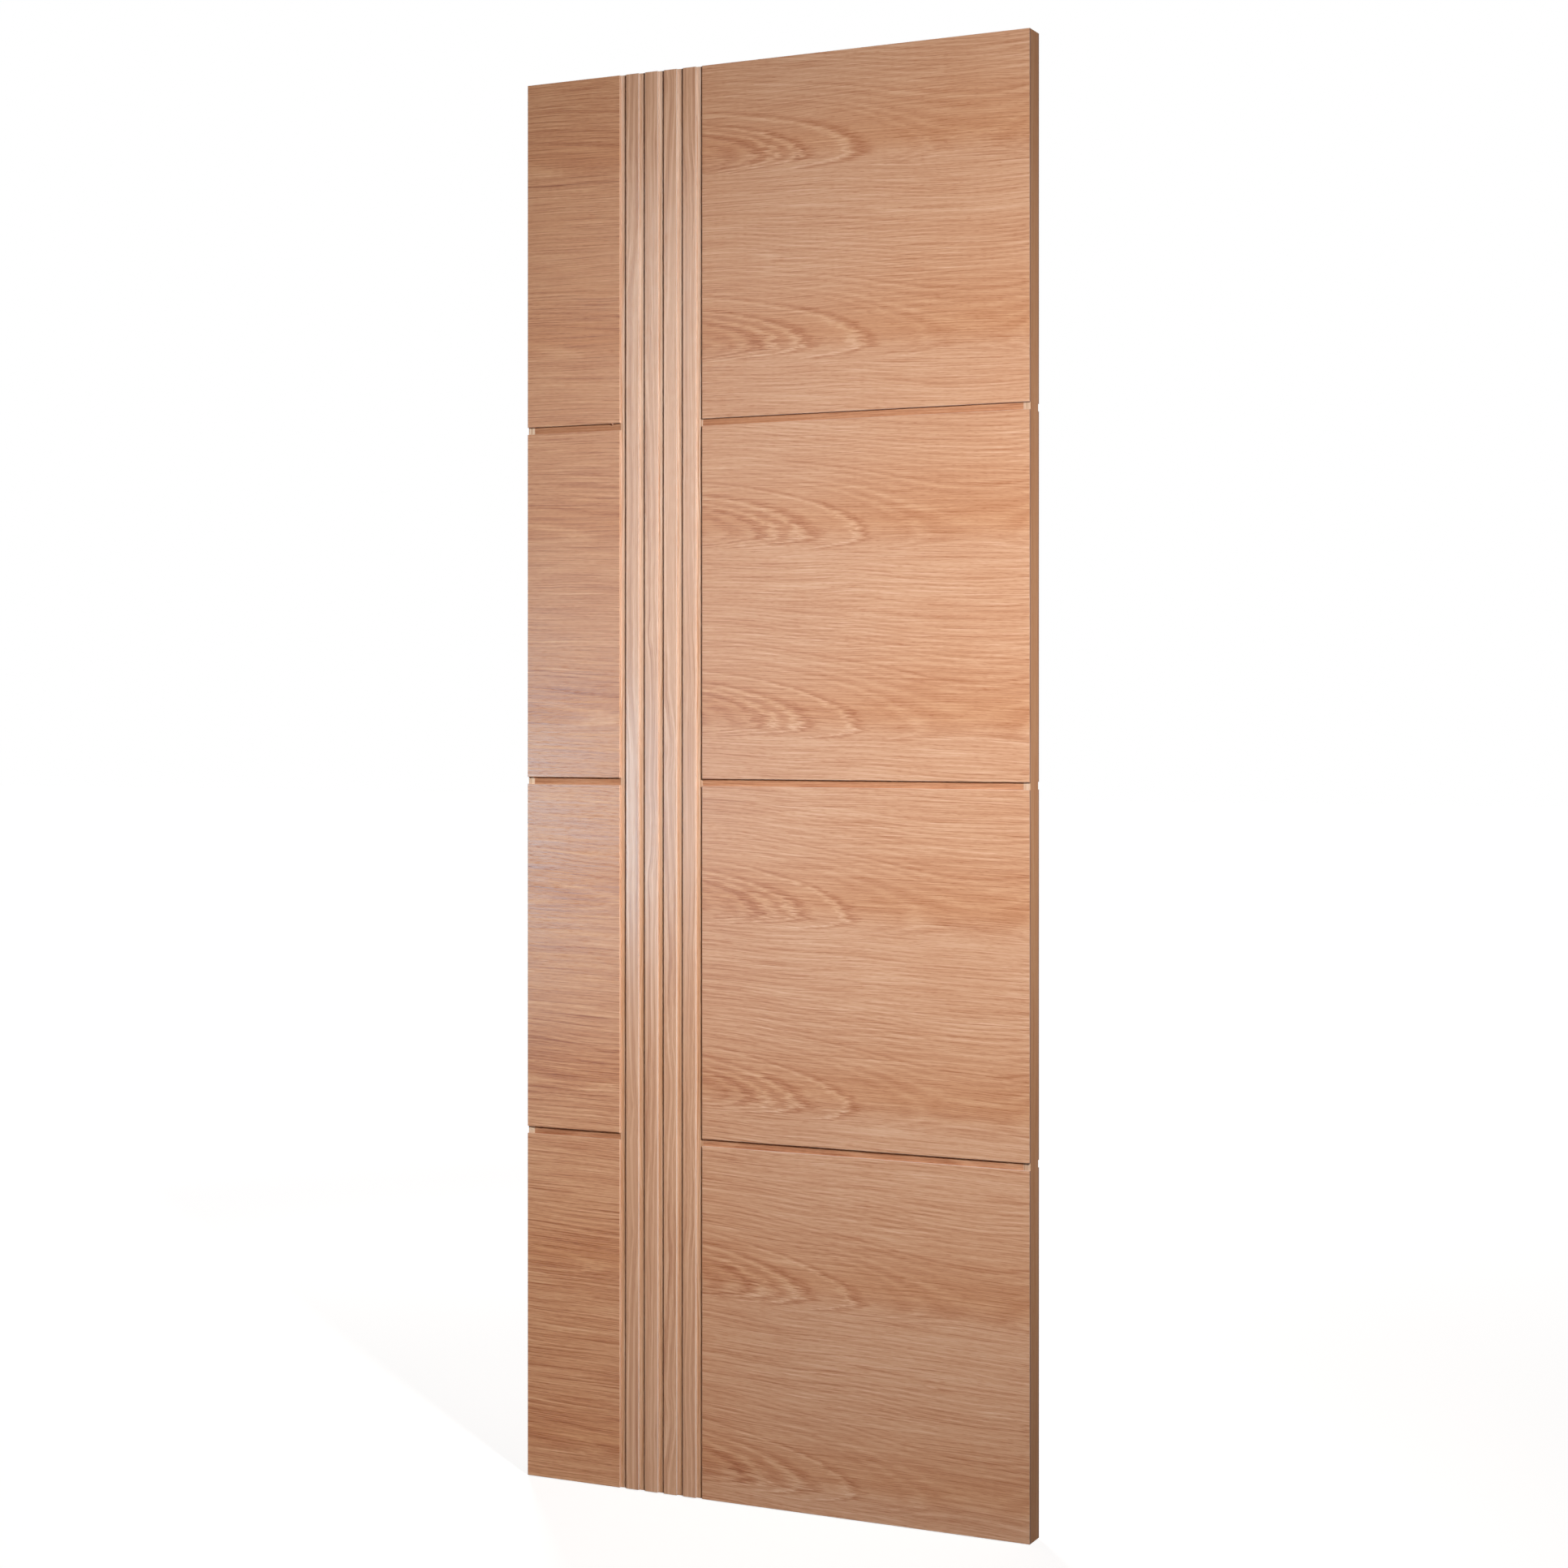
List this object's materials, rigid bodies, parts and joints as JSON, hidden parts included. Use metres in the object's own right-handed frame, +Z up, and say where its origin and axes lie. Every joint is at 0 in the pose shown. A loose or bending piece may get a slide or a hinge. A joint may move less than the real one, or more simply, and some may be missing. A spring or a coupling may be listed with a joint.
{
  "type": "reeded flush door leaf",
  "caption": "Flush oak-veneered door leaf with a full-height band of flat reeds near the hinge edge and level grooves dividing both faces into equal panels; hung by its hinge edge.",
  "frame": {"origin": "on the hinge edge's face at its foot, mid-thickness, level with the leaf's bottom edge", "axes": "+X across the leaf from the hinge edge to the lock edge, +Y from the front face to the back face, +Z up"},
  "size_m": [0.762, 0.035, 1.981],
  "materials": {
    "face_veneer": "oak veneer with level grain, satin lacquer",
    "reed_oak": "straight-grained oak with upright grain, satin lacquer",
    "stile_oak": "pale straight-grained oak in the groove floors",
    "lipping_oak": "solid oak edge lipping with upright grain",
    "core_timber": "reddish core timber in the level groove floors",
    "rail_timber": "planed rail timber at the top and bottom edges"
  },
  "bodies": {
    "root": {"back_hinge_panel_1": "face_veneer", "back_hinge_panel_2": "face_veneer", "back_hinge_panel_3": "face_veneer", "back_hinge_panel_4": "face_veneer", "back_lock_panel_1": "face_veneer", "back_lock_panel_2": "face_veneer", "back_lock_panel_3": "face_veneer", "back_lock_panel_4": "face_veneer", "back_reed_1": "reed_oak", "back_reed_2": "reed_oak", "back_reed_3": "reed_oak", "back_reed_4": "reed_oak", "front_hinge_panel_1": "face_veneer", "front_hinge_panel_2": "face_veneer", "front_hinge_panel_3": "face_veneer", "front_hinge_panel_4": "face_veneer", "front_lock_panel_1": "face_veneer", "front_lock_panel_2": "face_veneer", "front_lock_panel_3": "face_veneer", "front_lock_panel_4": "face_veneer", "front_reed_1": "reed_oak", "front_reed_2": "reed_oak", "front_reed_3": "reed_oak", "front_reed_4": "reed_oak", "hinge_edge_lipping": "lipping_oak", "hinge_side_bottom_rail": "rail_timber", "hinge_side_core": "core_timber", "hinge_side_top_rail": "rail_timber", "lock_edge_lipping": "lipping_oak", "lock_side_bottom_rail": "rail_timber", "lock_side_core": "core_timber", "lock_side_top_rail": "rail_timber", "reed_stile": "stile_oak"}
  },
  "joints": []
}
